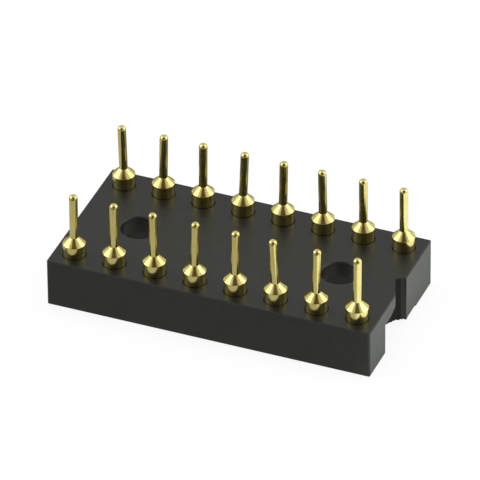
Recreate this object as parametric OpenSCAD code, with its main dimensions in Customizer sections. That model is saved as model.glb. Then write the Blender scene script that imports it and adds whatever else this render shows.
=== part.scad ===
// Dual-in-line socket for a 16-lead integrated circuit, with turned contacts.
// It stands on its mating face, with the solder tails up.
// Origin: centre of the mating face. X runs along the rows, Y across them, Z up towards the tails.

/* [Body] */
// Height of the body, from the mating face to the pin side
body_height = 3.1; // [2.9:0.05:4]
// Width of each full-height rail, which has a row of contacts along its middle
rail_width = 2.54; // [2.3:0.02:3.2]
// Thickness of the web that joins the rails on the pin side
web_thickness = 1.05; // [0.8:0.05:1.4]
// Thickness of the wall that closes the channel at each end
end_wall = 1.1; // [1:0.05:1.6]
// How far the end walls stop short of the mating face
end_wall_relief = 0.2; // [0.1:0.05:0.5]
// Radius of the upright corners
corner_radius = 0.15; // [0.1:0.05:0.5]
// Bevel along the edges of the pin side and the mating side
edge_bevel = 0.06; // [0.02:0.01:0.1]

/* [Orientation notch] */
// Radius of the round flank of the notch
notch_radius = 0.9; // [0.7:0.05:0.95]
// Angle of the notch's straight flank from the width direction
notch_angle = 21; // [10:1:30]
// Bevel under the web along the notch's straight flank
notch_bevel = 0.25; // [0.1:0.05:0.4]

/* [Mounting holes] */
// Diameter of the two holes on the centre line
mounting_hole_d = 2.2; // [1.6:0.1:2.8]
// Distance between the two holes
mounting_hole_spacing = 12.7; // [10:0.1:14]
// Bevel round the rim of each hole on the pin side
mounting_hole_bevel = 0.06; // [0.02:0.02:0.2]

/* [Contact layout] */
// Distance between neighbouring contacts in a row
pitch = 2.54; // [2.4:0.01:2.8]
// Distance between the two rows
row_spacing = 7.62; // [7:0.02:15.24]

/* [Turned shell] */
// Diameter of the shell's barrel and of its collar on the pin side
barrel_d = 1.38; // [1.3:0.02:1.46]
// Height of the collar above the body's pin side
collar_height = 0.72; // [0.4:0.02:1.2]
// Diameter of the solder tail
tail_d = 0.508; // [0.4:0.004:0.6]
// Straight length of the solder tail, from the cone to the tip
tail_length = 3.11; // [2:0.01:4]
// Radius of the domed edge of the tail's tip
tip_radius = 0.2; // [0.05:0.01:0.2]
// Diameter of the head, on the mating side
head_d = 1.83; // [1.7:0.01:1.95]
// Thickness of the head
head_height = 0.45; // [0.4:0.05:0.7]
// How far the head lies below the mating face
head_recess = 0.05; // [0.02:0.01:0.15]
// Diameter of the shell's bore, which holds the clip
shell_bore_d = 1.0; // [0.94:0.02:1.06]
// Room in the bore between the clip's finger ends and the start of the drill point
bore_end_room = 0.5; // [0.2:0.05:0.6]
// Diameter of the mouth that guides a lead in
mouth_d = 1.32; // [1.24:0.02:1.4]
// Depth of the mouth
mouth_depth = 0.32; // [0.25:0.01:0.35]
// Bevel round the mouth
mouth_bevel = 0.12; // [0.05:0.01:0.14]
// Radial room between the barrel and its hole in the body, outside the grip ring
press_room = 0.03; // [0.01:0.01:0.06]
// Length of the grip ring that holds the shell in the body
grip_length = 0.5; // [0.3:0.05:0.8]
// Radial room round the head in its counterbore
head_room = 0.03; // [0.01:0.01:0.06]
// Bevel on the head's rim and on the ends of the grip ring
shell_bevel = 0.04; // [0.02:0.01:0.08]

/* [Spring clip] */
// Thickness of the clip's metal
clip_wall = 0.1; // [0.08:0.01:0.12]
// Length of the clip's closed tube, below its fingers
clip_tube = 0.5; // [0.4:0.05:0.6]
// Length of the fingers, from the tube to the throat
finger_length = 1.15; // [0.9:0.05:1.3]
// Diameter of the throat between the fingers at rest
throat_d = 0.36; // [0.3:0.02:0.42]
// Length of the flared finger ends beyond the throat
finger_flare = 0.25; // [0.15:0.05:0.35]
// Width of the slots between the fingers
slot_width = 0.12; // [0.08:0.01:0.16]

/* [Hidden] */
$fn = 64;
// Contacts in each row: the standard 16-lead package
per_row = 8;
// Added past a face so that a cut goes right through it
through = 0.01;

// The rails are centred on the rows, and sockets stand end to end without losing a pitch
body_length = per_row * pitch;
body_width = row_spacing + rail_width;
rail_inner = (row_spacing - rail_width) / 2;
channel_height = body_height - web_thickness;
hole_r = barrel_d / 2 + press_room;
seat_height = head_recess + head_height;
rim_z = body_height + collar_height;
cone_height = (barrel_d - tail_d) / 2;
tail_z = rim_z + cone_height;
tip_z = tail_z + tail_length;
mouth_floor = head_recess + mouth_depth;
finger_start = mouth_floor + clip_tube;
throat_z = finger_start + finger_length;
finger_end = throat_z + finger_flare;
bore_end = finger_end + bore_end_room;
// A drill point of 118 degrees
drill_point = shell_bore_d / 2 / tan(59);

black_plastic = [0.16, 0.16, 0.15];
gold = [0.86, 0.74, 0.36];
pale_gold = [0.9, 0.8, 0.5];

// Contacts are numbered as on the package: from the notch along -Y, then back along +Y
count = 2 * per_row;
function two_digits(i) = str(i < 10 ? "0" : "", i);
function contact_x(i) =
    let (step = i <= per_row ? i - 1 : count - i)
    ((per_row - 1) / 2 - step) * pitch;
function contact_y(i) = (i <= per_row ? -1 : 1) * row_spacing / 2;

pin_names = [for (i = [1:count]) str("pin_", two_digits(i))];
clip_names = [for (i = [1:count]) str("clip_", two_digits(i))];

module at_contact(i) {
    translate([contact_x(i), contact_y(i), 0]) children();
}

// ---- Body ----

// Plan outline with round upright corners, made of true arcs
module rounded_outline(length, width, radius) {
    square([length - 2 * radius, width], center = true);
    square([length, width - 2 * radius], center = true);
    for (sx = [-1, 1], sy = [-1, 1])
        translate([sx * (length / 2 - radius), sy * (width / 2 - radius)])
            circle(r = radius);
}

// End or side view of the block, with its four long edges bevelled
module bevelled_view(width, height, bevel) {
    translate([-width / 2, 0])
        polygon([
            [bevel, 0],
            [width - bevel, 0],
            [width, bevel],
            [width, height - bevel],
            [width - bevel, height],
            [bevel, height],
            [0, height - bevel],
            [0, bevel]
        ]);
}

module block() {
    intersection() {
        linear_extrude(body_height) rounded_outline(body_length, body_width, corner_radius);
        rotate([90, 0, 0])
            linear_extrude(body_width + 1, center = true)
                bevelled_view(body_length, body_height, edge_bevel);
        rotate([90, 0, 90])
            linear_extrude(body_length + 1, center = true)
                bevelled_view(body_width, body_height, edge_bevel);
    }
}

// Room between the rails, open to the mating side, with the end walls left standing
module channel() {
    inside = body_length - 2 * end_wall;
    translate([-inside / 2, -rail_inner, -through])
        cube([inside, 2 * rail_inner, channel_height + through]);
    translate([-body_length / 2 - through, -rail_inner, -through])
        cube([body_length + 2 * through, 2 * rail_inner, end_wall_relief + through]);
}

// The half plane on the open side of the notch's straight flank
module notch_open_side() {
    reach = 4 * notch_radius;
    translate([body_length / 2, -notch_radius])
        rotate(notch_angle)
            translate([0, -reach])
                square([reach, 2 * reach]);
}

module notch_circle() {
    translate([body_length / 2, 0]) circle(r = notch_radius);
}

// Bevel under the web, from the end face to where the straight flank meets the round one
module notch_bevel_cut() {
    side = notch_bevel * sqrt(2);
    flank = 2 * notch_radius * cos(notch_angle);
    translate([body_length / 2, -notch_radius, channel_height])
        rotate([0, 0, notch_angle])
            rotate([0, 45, 0])
                translate([-side / 2, -notch_radius, -side / 2])
                    cube([side, notch_radius + flank, side]);
}

// The notch through the web, and the larger opening below it
module orientation_notch() {
    translate([0, 0, -through])
        linear_extrude(body_height + 2 * through)
            intersection() {
                notch_circle();
                notch_open_side();
            }
    translate([0, 0, -through])
        linear_extrude(channel_height + through) {
            notch_circle();
            translate([body_length / 2 - end_wall - through, -rail_inner])
                square([end_wall + 2 * through, rail_inner]);
        }
    notch_bevel_cut();
}

module mounting_holes() {
    for (side = [-1, 1])
        translate([side * mounting_hole_spacing / 2, 0, 0]) {
            translate([0, 0, channel_height - through])
                cylinder(d = mounting_hole_d, h = web_thickness + 2 * through);
            translate([0, 0, body_height - mounting_hole_bevel])
                cylinder(
                    d1 = mounting_hole_d,
                    d2 = mounting_hole_d + 2 * (mounting_hole_bevel + through),
                    h = mounting_hole_bevel + through
                );
        }
}

// A hole for one shell: a counterbore for its head and a bore for its barrel
module contact_hole() {
    translate([0, 0, -through])
        cylinder(r = head_d / 2 + head_room, h = seat_height + through);
    cylinder(r = hole_r, h = body_height + through);
}

module socket_body() {
    color(black_plastic)
        difference() {
            block();
            channel();
            orientation_notch();
            mounting_holes();
            for (i = [1:count]) at_contact(i) contact_hole();
        }
}

// ---- Turned shell ----

// Half section of the head, the barrel with its grip ring, the collar and the cone
module barrel_section() {
    barrel_r = barrel_d / 2;
    head_r = head_d / 2;
    grip_low = (seat_height + body_height - grip_length) / 2;
    polygon([
        [0, head_recess],
        [head_r - shell_bevel, head_recess],
        [head_r, head_recess + shell_bevel],
        [head_r, seat_height],
        [barrel_r, seat_height],
        [barrel_r, grip_low],
        [hole_r, grip_low + shell_bevel],
        [hole_r, grip_low + grip_length - shell_bevel],
        [barrel_r, grip_low + grip_length],
        [barrel_r, rim_z],
        [tail_d / 2, tail_z],
        [0, tail_z]
    ]);
}

// Half section of the solder tail, with the edge of its tip rounded by a true arc
module tail_section() {
    tail_r = tail_d / 2;
    arc_x = tail_r - tip_radius;
    arc_z = tip_z - tip_radius;
    translate([0, tail_z - through]) square([tail_r, arc_z - tail_z + through]);
    translate([0, arc_z - through]) square([arc_x, tip_radius + through]);
    intersection() {
        translate([arc_x, arc_z]) circle(r = tip_radius);
        translate([0, arc_z - through]) square([tail_r, tip_radius + through]);
    }
}

// Half section of the room inside the shell: mouth, bore and drill point
module shell_room_section() {
    bore_r = shell_bore_d / 2;
    mouth_r = mouth_d / 2;
    polygon([
        [0, head_recess - through],
        [mouth_r + mouth_bevel + through, head_recess - through],
        [mouth_r, head_recess + mouth_bevel],
        [mouth_r, mouth_floor],
        [bore_r, mouth_floor],
        [bore_r, bore_end],
        [0, bore_end + drill_point]
    ]);
}

module turned_shell() {
    color(gold)
        rotate_extrude()
            difference() {
                union() {
                    barrel_section();
                    tail_section();
                }
                shell_room_section();
            }
}

// ---- Spring clip ----

// Half section of the clip: a flange on the mouth's floor, a tube and the tapered fingers
module clip_section() {
    tube_r = shell_bore_d / 2;
    throat_r = throat_d / 2;
    flare_r = throat_r + clip_wall;
    polygon([
        [mouth_d / 2, mouth_floor - clip_wall],
        [mouth_d / 2, mouth_floor],
        [tube_r, mouth_floor],
        [tube_r, finger_start],
        [throat_r + clip_wall, throat_z],
        [flare_r + clip_wall / 2, finger_end],
        [flare_r - clip_wall / 2, finger_end],
        [throat_r, throat_z],
        [tube_r - clip_wall, finger_start],
        [tube_r - clip_wall, mouth_floor + clip_wall / 2],
        [tube_r, mouth_floor - clip_wall]
    ]);
}

module spring_clip() {
    color(pale_gold)
        difference() {
            rotate_extrude() clip_section();
            for (turn = [0, 90])
                rotate(turn + 45)
                    translate([-shell_bore_d, -slot_width / 2, finger_start])
                        cube([2 * shell_bore_d, slot_width, finger_end]);
        }
}

socket_body();
for (i = [1:count]) {
    at_contact(i) turned_shell();
    at_contact(i) spring_clip();
}
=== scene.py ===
import math

import bmesh
import bpy
from mathutils import Matrix, Vector


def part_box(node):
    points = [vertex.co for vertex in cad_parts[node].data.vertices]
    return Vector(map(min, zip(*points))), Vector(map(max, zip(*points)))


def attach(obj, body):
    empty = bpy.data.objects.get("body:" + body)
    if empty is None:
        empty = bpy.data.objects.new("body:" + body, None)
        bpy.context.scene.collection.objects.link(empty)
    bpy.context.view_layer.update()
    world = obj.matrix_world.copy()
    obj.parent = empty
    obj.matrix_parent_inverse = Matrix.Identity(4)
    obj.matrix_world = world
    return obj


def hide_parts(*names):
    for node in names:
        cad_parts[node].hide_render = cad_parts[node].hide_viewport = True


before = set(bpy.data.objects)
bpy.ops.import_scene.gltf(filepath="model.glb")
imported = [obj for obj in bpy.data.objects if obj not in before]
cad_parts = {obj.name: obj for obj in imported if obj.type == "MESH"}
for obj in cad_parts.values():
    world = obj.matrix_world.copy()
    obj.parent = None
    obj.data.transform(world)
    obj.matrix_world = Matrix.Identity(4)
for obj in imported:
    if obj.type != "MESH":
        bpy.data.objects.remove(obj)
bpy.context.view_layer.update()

MM = 0.001
# The end wall with the orientation notch, in mm: its thickness and foot, and the notch's radius
END_WALL = 1.1
WALL_FOOT = 0.2
NOTCH_RADIUS = 0.9
body_low, body_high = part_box("socket_body")
BODY_TOP = body_high.z


# ---- Camera ----


# Azimuth, elevation and roll, in degrees
CAMERA_ANGLES = (22.066, 35.285, -0.516)
CAMERA_LENS = 589.4
SENSOR_WIDTH = 36
# The aim on the pin side and the distance from it, in mm
CAMERA_AIM = (-0.342, 0.990)
CAMERA_DISTANCE = 462.2


def studio_camera():
    """The long-lens camera in front of the socket, above it and to its right."""
    azimuth, elevation, roll = (math.radians(a) for a in CAMERA_ANGLES)
    back = Vector(
        (
            math.sin(azimuth) * math.cos(elevation),
            -math.cos(azimuth) * math.cos(elevation),
            math.sin(elevation),
        )
    )
    level = Vector((math.cos(azimuth), math.sin(azimuth), 0))
    upward = back.cross(level)
    right = math.cos(roll) * level + math.sin(roll) * upward
    up = -math.sin(roll) * level + math.cos(roll) * upward
    lens = bpy.data.cameras.new("studio_camera")
    lens.lens = CAMERA_LENS
    lens.sensor_width = SENSOR_WIDTH
    lens.clip_start, lens.clip_end = 0.02, 20
    camera = bpy.data.objects.new("studio_camera", lens)
    bpy.context.scene.collection.objects.link(camera)
    aim = Vector((CAMERA_AIM[0] * MM, CAMERA_AIM[1] * MM, BODY_TOP))
    axes = Matrix((right, up, back)).transposed().to_4x4()
    camera.matrix_world = Matrix.Translation(aim + back * CAMERA_DISTANCE * MM) @ axes
    bpy.context.scene.camera = camera


studio_camera()


# ---- Shader maths ----

WHITE = (1, 1, 1, 1)


class Signal:
    """A socket that carries a number, so that shader maths reads as plain expressions."""

    def __init__(self, graph, socket):
        self.graph = graph
        self.socket = socket

    def maths(self, operation, *values, clamp=False):
        settings = {"operation": operation, "use_clamp": clamp}
        return self.graph.node("ShaderNodeMath", settings, dict(enumerate(values)))[0]

    def __add__(self, other):
        return self.maths("ADD", self, other)

    def __radd__(self, other):
        return self.maths("ADD", other, self)

    def __sub__(self, other):
        return self.maths("SUBTRACT", self, other)

    def __rsub__(self, other):
        return self.maths("SUBTRACT", other, self)

    def __mul__(self, other):
        return self.maths("MULTIPLY", self, other)

    def __rmul__(self, other):
        return self.maths("MULTIPLY", other, self)

    def __pow__(self, other):
        return self.maths("POWER", self, other)

    def larger(self, other):
        return self.maths("MAXIMUM", self, other)

    def ramp(self, low, high):
        """0 at or below low, 1 at or above high, smooth between them."""
        settings = {"interpolation_type": "SMOOTHSTEP"}
        return self.graph.node(
            "ShaderNodeMapRange", settings, {0: self, 1: low, 2: high, 3: 0.0, 4: 1.0}
        )[0]


class Outputs:
    """The outputs of a node, by name or by number."""

    def __init__(self, graph, made):
        self.graph = graph
        self.made = made

    def __getitem__(self, key):
        return Signal(self.graph, self.made.outputs[key])


class Graph:
    """A node tree under construction."""

    def __init__(self, tree):
        self.tree = tree
        tree.nodes.clear()

    def node(self, kind, settings=None, inputs=None):
        made = self.tree.nodes.new(kind)
        for name, value in (settings or {}).items():
            setattr(made, name, value)
        for key, value in (inputs or {}).items():
            if isinstance(value, Signal):
                self.tree.links.new(value.socket, made.inputs[key])
            else:
                made.inputs[key].default_value = value
        return Outputs(self, made)

    def blend(self, factor, a, b):
        """Colour a where factor is 0, colour b where it is 1."""
        settings = {"data_type": "RGBA", "clamp_factor": True}
        return self.node("ShaderNodeMix", settings, {0: factor, 6: a, 7: b})[2]

    def millimetres(self):
        """Place on the object, in millimetres."""
        place = self.node("ShaderNodeTexCoord")["Object"]
        settings = {"operation": "SCALE"}
        return self.node("ShaderNodeVectorMath", settings, {0: place, 3: 1 / MM})[0]

    def grain(self, place, scale, detail=2.0, roughness=0.5):
        """Noise from 0 to 1 with that many lumps to the millimetre."""
        inputs = {"Vector": place, "Scale": scale, "Detail": detail, "Roughness": roughness}
        return self.node("ShaderNodeTexNoise", None, inputs)[0]

    def bump(self, height, distance, strength=1.0):
        inputs = {"Height": height, "Distance": distance, "Strength": strength}
        return self.node("ShaderNodeBump", None, inputs)[0]


def finish_of(name, build):
    """A new material whose graph the build function fills."""
    material = bpy.data.materials.new(name)
    material.use_nodes = True
    graph = Graph(material.node_tree)
    shader = build(graph)
    graph.node("ShaderNodeOutputMaterial", None, {"Surface": shader})
    return material


# ---- Finishes ----


def painted_shade_in_notch(graph, place):
    """How far a point lies on the orientation notch's flank, where a rough, darker copy of the
    plastic paints the shade, from 0 to 1; more of it deeper in.
    """
    parts = graph.node("ShaderNodeSeparateXYZ", None, {0: place})
    from_end = body_high.x / MM - parts["X"]
    inside = from_end.ramp(0.22, 0.40)
    from_middle = parts["Y"]
    from_axis = (from_end * from_end + from_middle * from_middle) ** 0.5
    near = 1 - from_axis.ramp(NOTCH_RADIUS + 0.005, NOTCH_RADIUS + 0.03)
    below_rim = (body_high.z / MM - parts["Z"]).ramp(0.02, 0.08)
    return inside * near * below_rim


def moulded_plastic(graph):
    """Glass-filled black plastic: faint mottling, fine grain and a low sheen, with painted shade
    on the notch's flank.
    """
    place = graph.millimetres()
    mottle = graph.grain(place, 1.3, 4.0, 0.6)
    fibre = graph.grain(place, 9.0, 3.0, 0.6)
    tone = graph.blend(
        (mottle * 0.6 + fibre * 0.4).ramp(0.3, 0.7),
        (0.0080, 0.0088, 0.0068, 1),
        (0.0136, 0.0146, 0.0116, 1),
    )
    gloss = 0.30 + 0.10 * mottle + 0.10 * fibre
    height = fibre * 0.7 + mottle * 0.3
    relief = graph.bump(height, 0.010 * MM, 0.6)
    moulded = graph.node(
        "ShaderNodeBsdfPrincipled",
        None,
        {"Base Color": tone, "Roughness": gloss, "Normal": relief, "IOR": 1.5},
    )[0]
    # Painted shade for the notch's flank: a rough, darker copy with little sheen
    notch_shade_copy = graph.node(
        "ShaderNodeBsdfPrincipled",
        None,
        {
            "Base Color": (0.019, 0.020, 0.018, 1),
            "Roughness": 0.8,
            "Normal": relief,
            "Specular IOR Level": 0.3,
        },
    )[0]
    # The painted shade takes over on the notch's flank
    share = painted_shade_in_notch(graph, place)
    return graph.node("ShaderNodeMixShader", None, {0: share, 1: moulded, 2: notch_shade_copy})[0]


def gold_plating(graph):
    """Pale gold over turned brass, with fine turning marks round the axis."""
    place = graph.millimetres()
    height_mm = graph.node("ShaderNodeSeparateXYZ", None, {0: place})["Z"]
    marks = graph.node(
        "ShaderNodeTexNoise",
        {"noise_dimensions": "1D"},
        {"W": height_mm, "Scale": 28.0, "Detail": 3.0},
    )[0]
    cloud = graph.grain(place, 1.6, 3.0)
    tone = graph.blend(cloud.ramp(0.35, 0.7), (0.79, 0.67, 0.23, 1), (0.85, 0.74, 0.31, 1))
    return graph.node(
        "ShaderNodeBsdfPrincipled",
        None,
        {
            "Base Color": tone,
            "Metallic": 1.0,
            "Roughness": 0.10 + 0.08 * cloud + 0.05 * marks,
            "Normal": graph.bump(marks, 0.0012 * MM, 0.5),
        },
    )[0]


def clip_plating(graph):
    """Gold over stamped spring metal, a little duller than the shells."""
    place = graph.millimetres()
    cloud = graph.grain(place, 5.0, 3.0)
    tone = graph.blend(cloud, (0.74, 0.60, 0.20, 1), (0.82, 0.70, 0.30, 1))
    return graph.node(
        "ShaderNodeBsdfPrincipled",
        None,
        {
            "Base Color": tone,
            "Metallic": 1.0,
            "Roughness": 0.22 + 0.12 * cloud,
            "Normal": graph.bump(cloud, 0.002 * MM, 0.4),
        },
    )[0]


black_plastic = finish_of("black_plastic", moulded_plastic)
shell_gold = finish_of("shell_gold", gold_plating)
clip_gold = finish_of("clip_gold", clip_plating)


def dress(piece, material):
    piece.data.materials.clear()
    piece.data.materials.append(material)


# ---- Turned pins ----


# A narrow ring beside each arc, in mm, keeps the long faces' shading flat along the axis
FLAT_EDGE = 0.004
ARC_STEP = math.radians(10)
FEWEST_ARC_STEPS = 3


def eased(corners):
    """The profile (radius, height, corner radius) in mm, with an arc in place of each corner."""
    points = []
    for i, (r, z, ease) in enumerate(corners):
        here = Vector((r, z))
        if not ease or i in (0, len(corners) - 1):
            points.append(here)
            continue
        to_last = (Vector(corners[i - 1][:2]) - here).normalized()
        to_next = (Vector(corners[i + 1][:2]) - here).normalized()
        half = to_last.angle(to_next) / 2
        reach = ease / math.tan(half)
        middle = here + (to_last + to_next).normalized() * (ease / math.sin(half))
        start = here + to_last * reach - middle
        end = here + to_next * reach - middle
        turn = start.angle(end)
        steps = max(FEWEST_ARC_STEPS, round(turn / ARC_STEP))
        points.append(middle + start + to_last * FLAT_EDGE)
        for k in range(steps + 1):
            t = k / steps
            swing = (
                start * math.sin((1 - t) * turn) + end * math.sin(t * turn)
            ) / math.sin(turn)
            points.append(middle + swing)
        points.append(middle + end + to_next * FLAT_EDGE)
    return points


# Heights on the shell, in mm from the mating face, and its radii
HEAD_FACE = 0.05
SEAT = 0.5
MOUTH_FLOOR = 0.37
BORE_END = 2.77
DRILL_TIP = 3.07
GRIP_LOW, GRIP_HIGH = 1.55, 2.05
GRIP_BEVEL = 0.04
COLLAR_TOP = BODY_TOP / MM + 0.80
TAIL_FOOT = COLLAR_TOP + 0.415
TIP = TAIL_FOOT + 2.985
BORE_R, MOUTH_R, BARREL_R, GRIP_R, HEAD_R, TAIL_R = 0.5, 0.66, 0.69, 0.715, 0.915, 0.254
MOUTH_BEVEL = 0.12
PIN_PROFILE = eased(
    [
        (0, DRILL_TIP, 0),
        (BORE_R, BORE_END, 0),
        (BORE_R, MOUTH_FLOOR, 0.01),
        (MOUTH_R, MOUTH_FLOOR, 0.02),
        (MOUTH_R, HEAD_FACE + MOUTH_BEVEL, 0.03),
        (MOUTH_R + MOUTH_BEVEL, HEAD_FACE, 0.02),
        (HEAD_R, HEAD_FACE, 0.04),
        (HEAD_R, SEAT, 0.02),
        (BARREL_R, SEAT, 0.02),
        (BARREL_R, GRIP_LOW, 0),
        (GRIP_R, GRIP_LOW + GRIP_BEVEL, 0),
        (GRIP_R, GRIP_HIGH - GRIP_BEVEL, 0),
        (BARREL_R, GRIP_HIGH, 0),
        (BARREL_R, GRIP_HIGH + 5 * FLAT_EDGE, 0),
        (BARREL_R, COLLAR_TOP, 0.035),
        (TAIL_R, TAIL_FOOT, 0.05),
        (TAIL_R, TIP, 0.245),
        (0, TIP, 0),
    ]
)

# How far each tail's tip leans from upright, in mm along X and Y
LEAN = {
    "pin_08": (0.01, 0.0),
    "pin_07": (0.02, 0.02),
    "pin_06": (-0.05, -0.03),
    "pin_05": (0.08, 0.0),
    "pin_04": (0.06, 0.0),
    "pin_03": (-0.16, 0.0),
    "pin_02": (0.05, 0.0),
    "pin_01": (0.0, 0.03),
    "pin_09": (-0.08, 0.0),
    "pin_10": (0.08, 0.0),
    "pin_11": (0.03, 0.03),
    "pin_12": (0.13, 0.05),
    "pin_13": (0.07, 0.0),
    "pin_14": (-0.05, -0.02),
    "pin_15": (-0.02, 0.0),
    "pin_16": (-0.01, -0.01),
}


FACETS = 64
SHARP_EDGE = math.radians(35)
ON_AXIS = 1e-6


def turned_pin(node):
    """One turned shell with its solder tail, revolved from the profile."""
    low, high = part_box(node)
    centre = (low + high) / 2
    lean = LEAN[node]
    shape = bmesh.new()
    rings = []
    for r, z in PIN_PROFILE:
        rise = max(0.0, (z - COLLAR_TOP) / (TIP - COLLAR_TOP))
        shift = Vector((lean[0] * rise, lean[1] * rise, 0)) * MM
        foot = Vector((centre.x, centre.y, z * MM)) + shift
        if r < ON_AXIS:
            rings.append([shape.verts.new(foot)] * FACETS)
            continue
        ring = []
        for k in range(FACETS):
            angle = 2 * math.pi * k / FACETS
            spoke = Vector((math.cos(angle), math.sin(angle), 0)) * r * MM
            ring.append(shape.verts.new(foot + spoke))
        rings.append(ring)
    for lower, upper in zip(rings, rings[1:]):
        for k in range(FACETS):
            n = (k + 1) % FACETS
            corners = []
            for v in (lower[k], lower[n], upper[n], upper[k]):
                if v not in corners:
                    corners.append(v)
            shape.faces.new(corners)
    bmesh.ops.recalc_face_normals(shape, faces=shape.faces)
    mesh = bpy.data.meshes.new("turned_" + node)
    shape.to_mesh(mesh)
    shape.free()
    for face in mesh.polygons:
        face.use_smooth = True
    mesh.set_sharp_from_angle(angle=SHARP_EDGE)
    piece = bpy.data.objects.new("turned_" + node, mesh)
    bpy.context.scene.collection.objects.link(piece)
    dress(piece, shell_gold)
    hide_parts(node)
    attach(piece, "root")
    return piece


# ---- Ragged fin ----

# How far the fin hangs below the end wall, in mm, at even steps along the notch's flank
FIN_DROPS = (
    0.00, 0.05, 0.13, 0.10, 0.17, 0.12, 0.18, 0.19, 0.13, 0.17, 0.10, 0.15, 0.16, 0.09, 0.12,
    0.05, 0.10, 0.08, 0.12, 0.06, 0.03, 0.07, 0.02, 0.04, 0.01, 0.05, 0.02, 0.03, 0.00, 0.02,
    0.00, 0.03, 0.04, 0.01, 0.02, 0.00,
)
# The fin's depth into the wall, and how far its root lies above the wall's foot
FIN_DEPTH = 0.08
FIN_ROOT = 0.03
# The fin stands this far proud of the wall
FIN_PROUD = 0.004
NOTCH_STEPS = 16
FACE_STEPS = 17
FACE_STEP = 0.08


def fin_path():
    """Plan points along the foot of the notched end wall, each with its inward direction."""
    end = body_high.x / MM
    path = [((end - END_WALL, 0.0), (0, 1)), ((end - NOTCH_RADIUS, 0.0), (0, 1))]
    for k in range(1, NOTCH_STEPS + 1):
        angle = math.radians(90 * k / NOTCH_STEPS)
        out = (-math.cos(angle), math.sin(angle))
        path.append(((end + NOTCH_RADIUS * out[0], NOTCH_RADIUS * out[1]), out))
    for k in range(1, FACE_STEPS + 1):
        path.append(((end, NOTCH_RADIUS + FACE_STEP * k), (-1, 0)))
    return path


def ragged_wall_fin():
    """A thin ragged dark fin that hangs along the foot of the notched end wall."""
    shape = bmesh.new()
    rings = []
    for i, ((x, y), inward) in enumerate(fin_path()):
        drop = FIN_DROPS[i]
        ring = []
        for depth, z in (
            (-FIN_PROUD, WALL_FOOT + FIN_ROOT),
            (-FIN_PROUD, WALL_FOOT - 0.6 * drop),
            (0.25 * FIN_DEPTH, WALL_FOOT - drop),
            (0.75 * FIN_DEPTH, WALL_FOOT - 0.5 * drop),
            (FIN_DEPTH, WALL_FOOT + FIN_ROOT),
        ):
            place = Vector((x + inward[0] * depth, y + inward[1] * depth, z))
            ring.append(shape.verts.new(place * MM))
        rings.append(ring)
    for a, b in zip(rings, rings[1:]):
        for k in range(len(a)):
            n = (k + 1) % len(a)
            shape.faces.new((a[k], a[n], b[n], b[k]))
    shape.faces.new(rings[0])
    shape.faces.new(rings[-1])
    bmesh.ops.recalc_face_normals(shape, faces=shape.faces)
    mesh = bpy.data.meshes.new("ragged_wall_fin")
    shape.to_mesh(mesh)
    shape.free()
    fin = bpy.data.objects.new("ragged_wall_fin", mesh)
    bpy.context.scene.collection.objects.link(fin)
    dress(fin, black_plastic)
    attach(fin, "root")


ragged_wall_fin()

for name, part in sorted(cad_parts.items()):
    if name.startswith("pin_"):
        turned_pin(name)
    elif name.startswith("clip_"):
        dress(part, clip_gold)
    else:
        dress(part, black_plastic)


# ---- Studio ----


def softbox(name, direction, distance, size, radiance, in_reflections):
    """A square lamp that faces the socket. Radiance 1 is as bright as white paper."""
    lamp = bpy.data.lights.new(name, "AREA")
    lamp.shape = "SQUARE"
    lamp.size = size
    lamp.energy = radiance * math.pi * size * size
    box = bpy.data.objects.new(name, lamp)
    bpy.context.scene.collection.objects.link(box)
    towards = Vector(direction).normalized()
    box.location = towards * distance
    box.rotation_mode = "QUATERNION"
    box.rotation_quaternion = towards.to_track_quat("Z", "Y")
    box.visible_camera = False
    box.visible_glossy = in_reflections


SOFTBOX_DISTANCE = 0.5
SOFTBOX_SIZE = 0.40
SOFTBOX_RADIANCE = 1.3
for name, direction in (
    ("left_softbox", (-0.83, -0.22, 0.50)),
    ("right_softbox", (0.75, 0.42, 0.50)),
):
    softbox(name, direction, SOFTBOX_DISTANCE, SOFTBOX_SIZE, SOFTBOX_RADIANCE, True)
softbox("overhead_lamp", (0.05, 0.10, 1.0), 0.6, 0.50, 2.1, False)


# The unlit side of the room: its middle, and the angles from there where it starts to fade
# and where it has gone
UNLIT_MIDDLE = Vector((0.315, -0.777, 0.545))
UNLIT_EDGE = (math.radians(29), math.radians(37))
UNLIT_COLOUR = (1.0, 0.66, 0.22, 1)
UNLIT_STRENGTH = 0.075
ROOM_IN_REFLECTIONS = 0.66
ROOM_LIGHT = 0.5


def studio_world():
    """White to look at. In reflections a paler grey, with the unlit side above the camera."""
    world = bpy.data.worlds.new("studio")
    bpy.context.scene.world = world
    world.use_nodes = True
    graph = Graph(world.node_tree)
    path = graph.node("ShaderNodeLightPath")
    towards = graph.node("ShaderNodeTexCoord")["Generated"]
    facing = graph.node(
        "ShaderNodeVectorMath", {"operation": "DOT_PRODUCT"}, {0: towards, 1: UNLIT_MIDDLE}
    )["Value"]
    dark = facing.ramp(math.cos(UNLIT_EDGE[1]), math.cos(UNLIT_EDGE[0]))
    reflected = ROOM_IN_REFLECTIONS * (1 - dark) + UNLIT_STRENGTH * dark
    seen = path["Is Camera Ray"]
    mirrored = path["Is Glossy Ray"].larger(path["Is Transmission Ray"])
    strength = seen + (1 - seen) * (mirrored * reflected + (1 - mirrored) * ROOM_LIGHT)
    tint = graph.blend(dark * mirrored * (1 - seen), WHITE, UNLIT_COLOUR)
    sky = graph.node("ShaderNodeBackground", None, {"Color": tint, "Strength": strength})
    graph.node("ShaderNodeOutputWorld", None, {"Surface": sky[0]})


studio_world()


# The paper's glow as reflections show it, painted light: its strength, the painted pool of side
# light past the notched end, and the shares that painted shade takes off behind the socket and
# at the paper's front end
PAPER_GLOW = 0.50
SIDE_LIGHT = 0.70
LOST_BEHIND = 0.5
LOST_AT_END = 0.8
PAPER_CAST = (0.99, 1.0, 0.95, 1)
SIDE_CAST = (0.94, 1.0, 0.92, 1)
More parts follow.
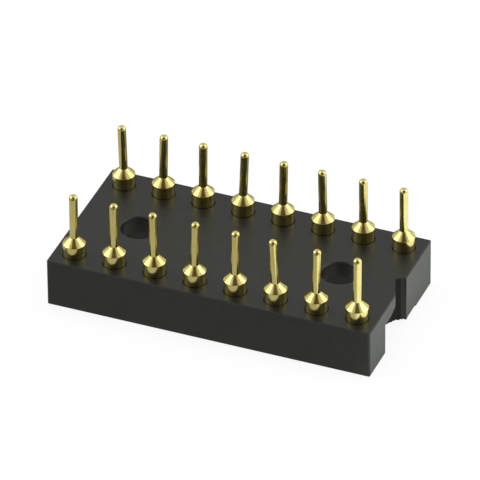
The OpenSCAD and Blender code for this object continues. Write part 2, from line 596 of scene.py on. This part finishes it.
# The paper as the camera sees it: its albedo, its own glow and the glow's share
PAPER_ALBEDO = (0.85, 0.85, 0.85, 1)
SEEN_GLOW = 1.03
SEEN_SHARE = 0.86


def white_floor(graph):
    """White paper. It keeps the socket's soft shadow and can be looked through from below. In
    reflections it glows with painted light: a pool of side light past the notched end, and
    painted shade behind the socket and at its front end.
    """
    path = graph.node("ShaderNodeLightPath")
    mirrored = path["Is Glossy Ray"].larger(path["Is Transmission Ray"])
    place = graph.node("ShaderNodeNewGeometry")["Position"]
    parts = graph.node("ShaderNodeSeparateXYZ", None, {0: place})
    # Painted light on the paper in reflections: a pool of side light past the notched end, and
    # painted shade behind the socket and towards the front end
    painted_side_light = (parts["X"] * (1 / MM)).ramp(8.2, 12.6)
    behind = (parts["Y"] * (1 / MM)).ramp(5.0, 8.0) * (1 - painted_side_light)
    painted_front_shade = (parts["Y"] * (-1 / MM)).ramp(13.5, 16.5)
    seen = path["Is Camera Ray"]
    lit_paper = PAPER_GLOW + SIDE_LIGHT * painted_side_light
    kept = (1 - LOST_BEHIND * behind) * (1 - LOST_AT_END * painted_front_shade)
    glow = seen * SEEN_GLOW + mirrored * lit_paper * kept
    paper = graph.node("ShaderNodeBsdfDiffuse", None, {"Color": PAPER_ALBEDO})[0]
    cast = graph.blend(painted_side_light, PAPER_CAST, SIDE_CAST)
    tint = graph.blend(seen, cast, WHITE)
    light = graph.node("ShaderNodeEmission", None, {"Color": tint, "Strength": glow})[0]
    share = seen * SEEN_SHARE + mirrored
    lit = graph.node("ShaderNodeMixShader", None, {0: share, 1: paper, 2: light})[0]
    clear = graph.node("ShaderNodeBsdfTransparent")[0]
    below = graph.node("ShaderNodeNewGeometry")["Backfacing"]
    return graph.node("ShaderNodeMixShader", None, {0: below, 1: lit, 2: clear})[0]


# In metres
PAPER_HALF_WIDTH = 2.0
# In mm, so that the mating face and the paper don't lie in one plane
FLOOR_GAP = 0.001


def paper_floor():
    shape = bmesh.new()
    bmesh.ops.create_grid(shape, x_segments=2, y_segments=2, size=PAPER_HALF_WIDTH)
    mesh = bpy.data.meshes.new("paper_floor")
    shape.to_mesh(mesh)
    shape.free()
    floor = bpy.data.objects.new("paper_floor", mesh)
    floor.location.z = body_low.z - FLOOR_GAP * MM
    bpy.context.scene.collection.objects.link(floor)
    dress(floor, finish_of("white_paper", white_floor))


paper_floor()
bpy.context.scene.view_settings.view_transform = "Standard"
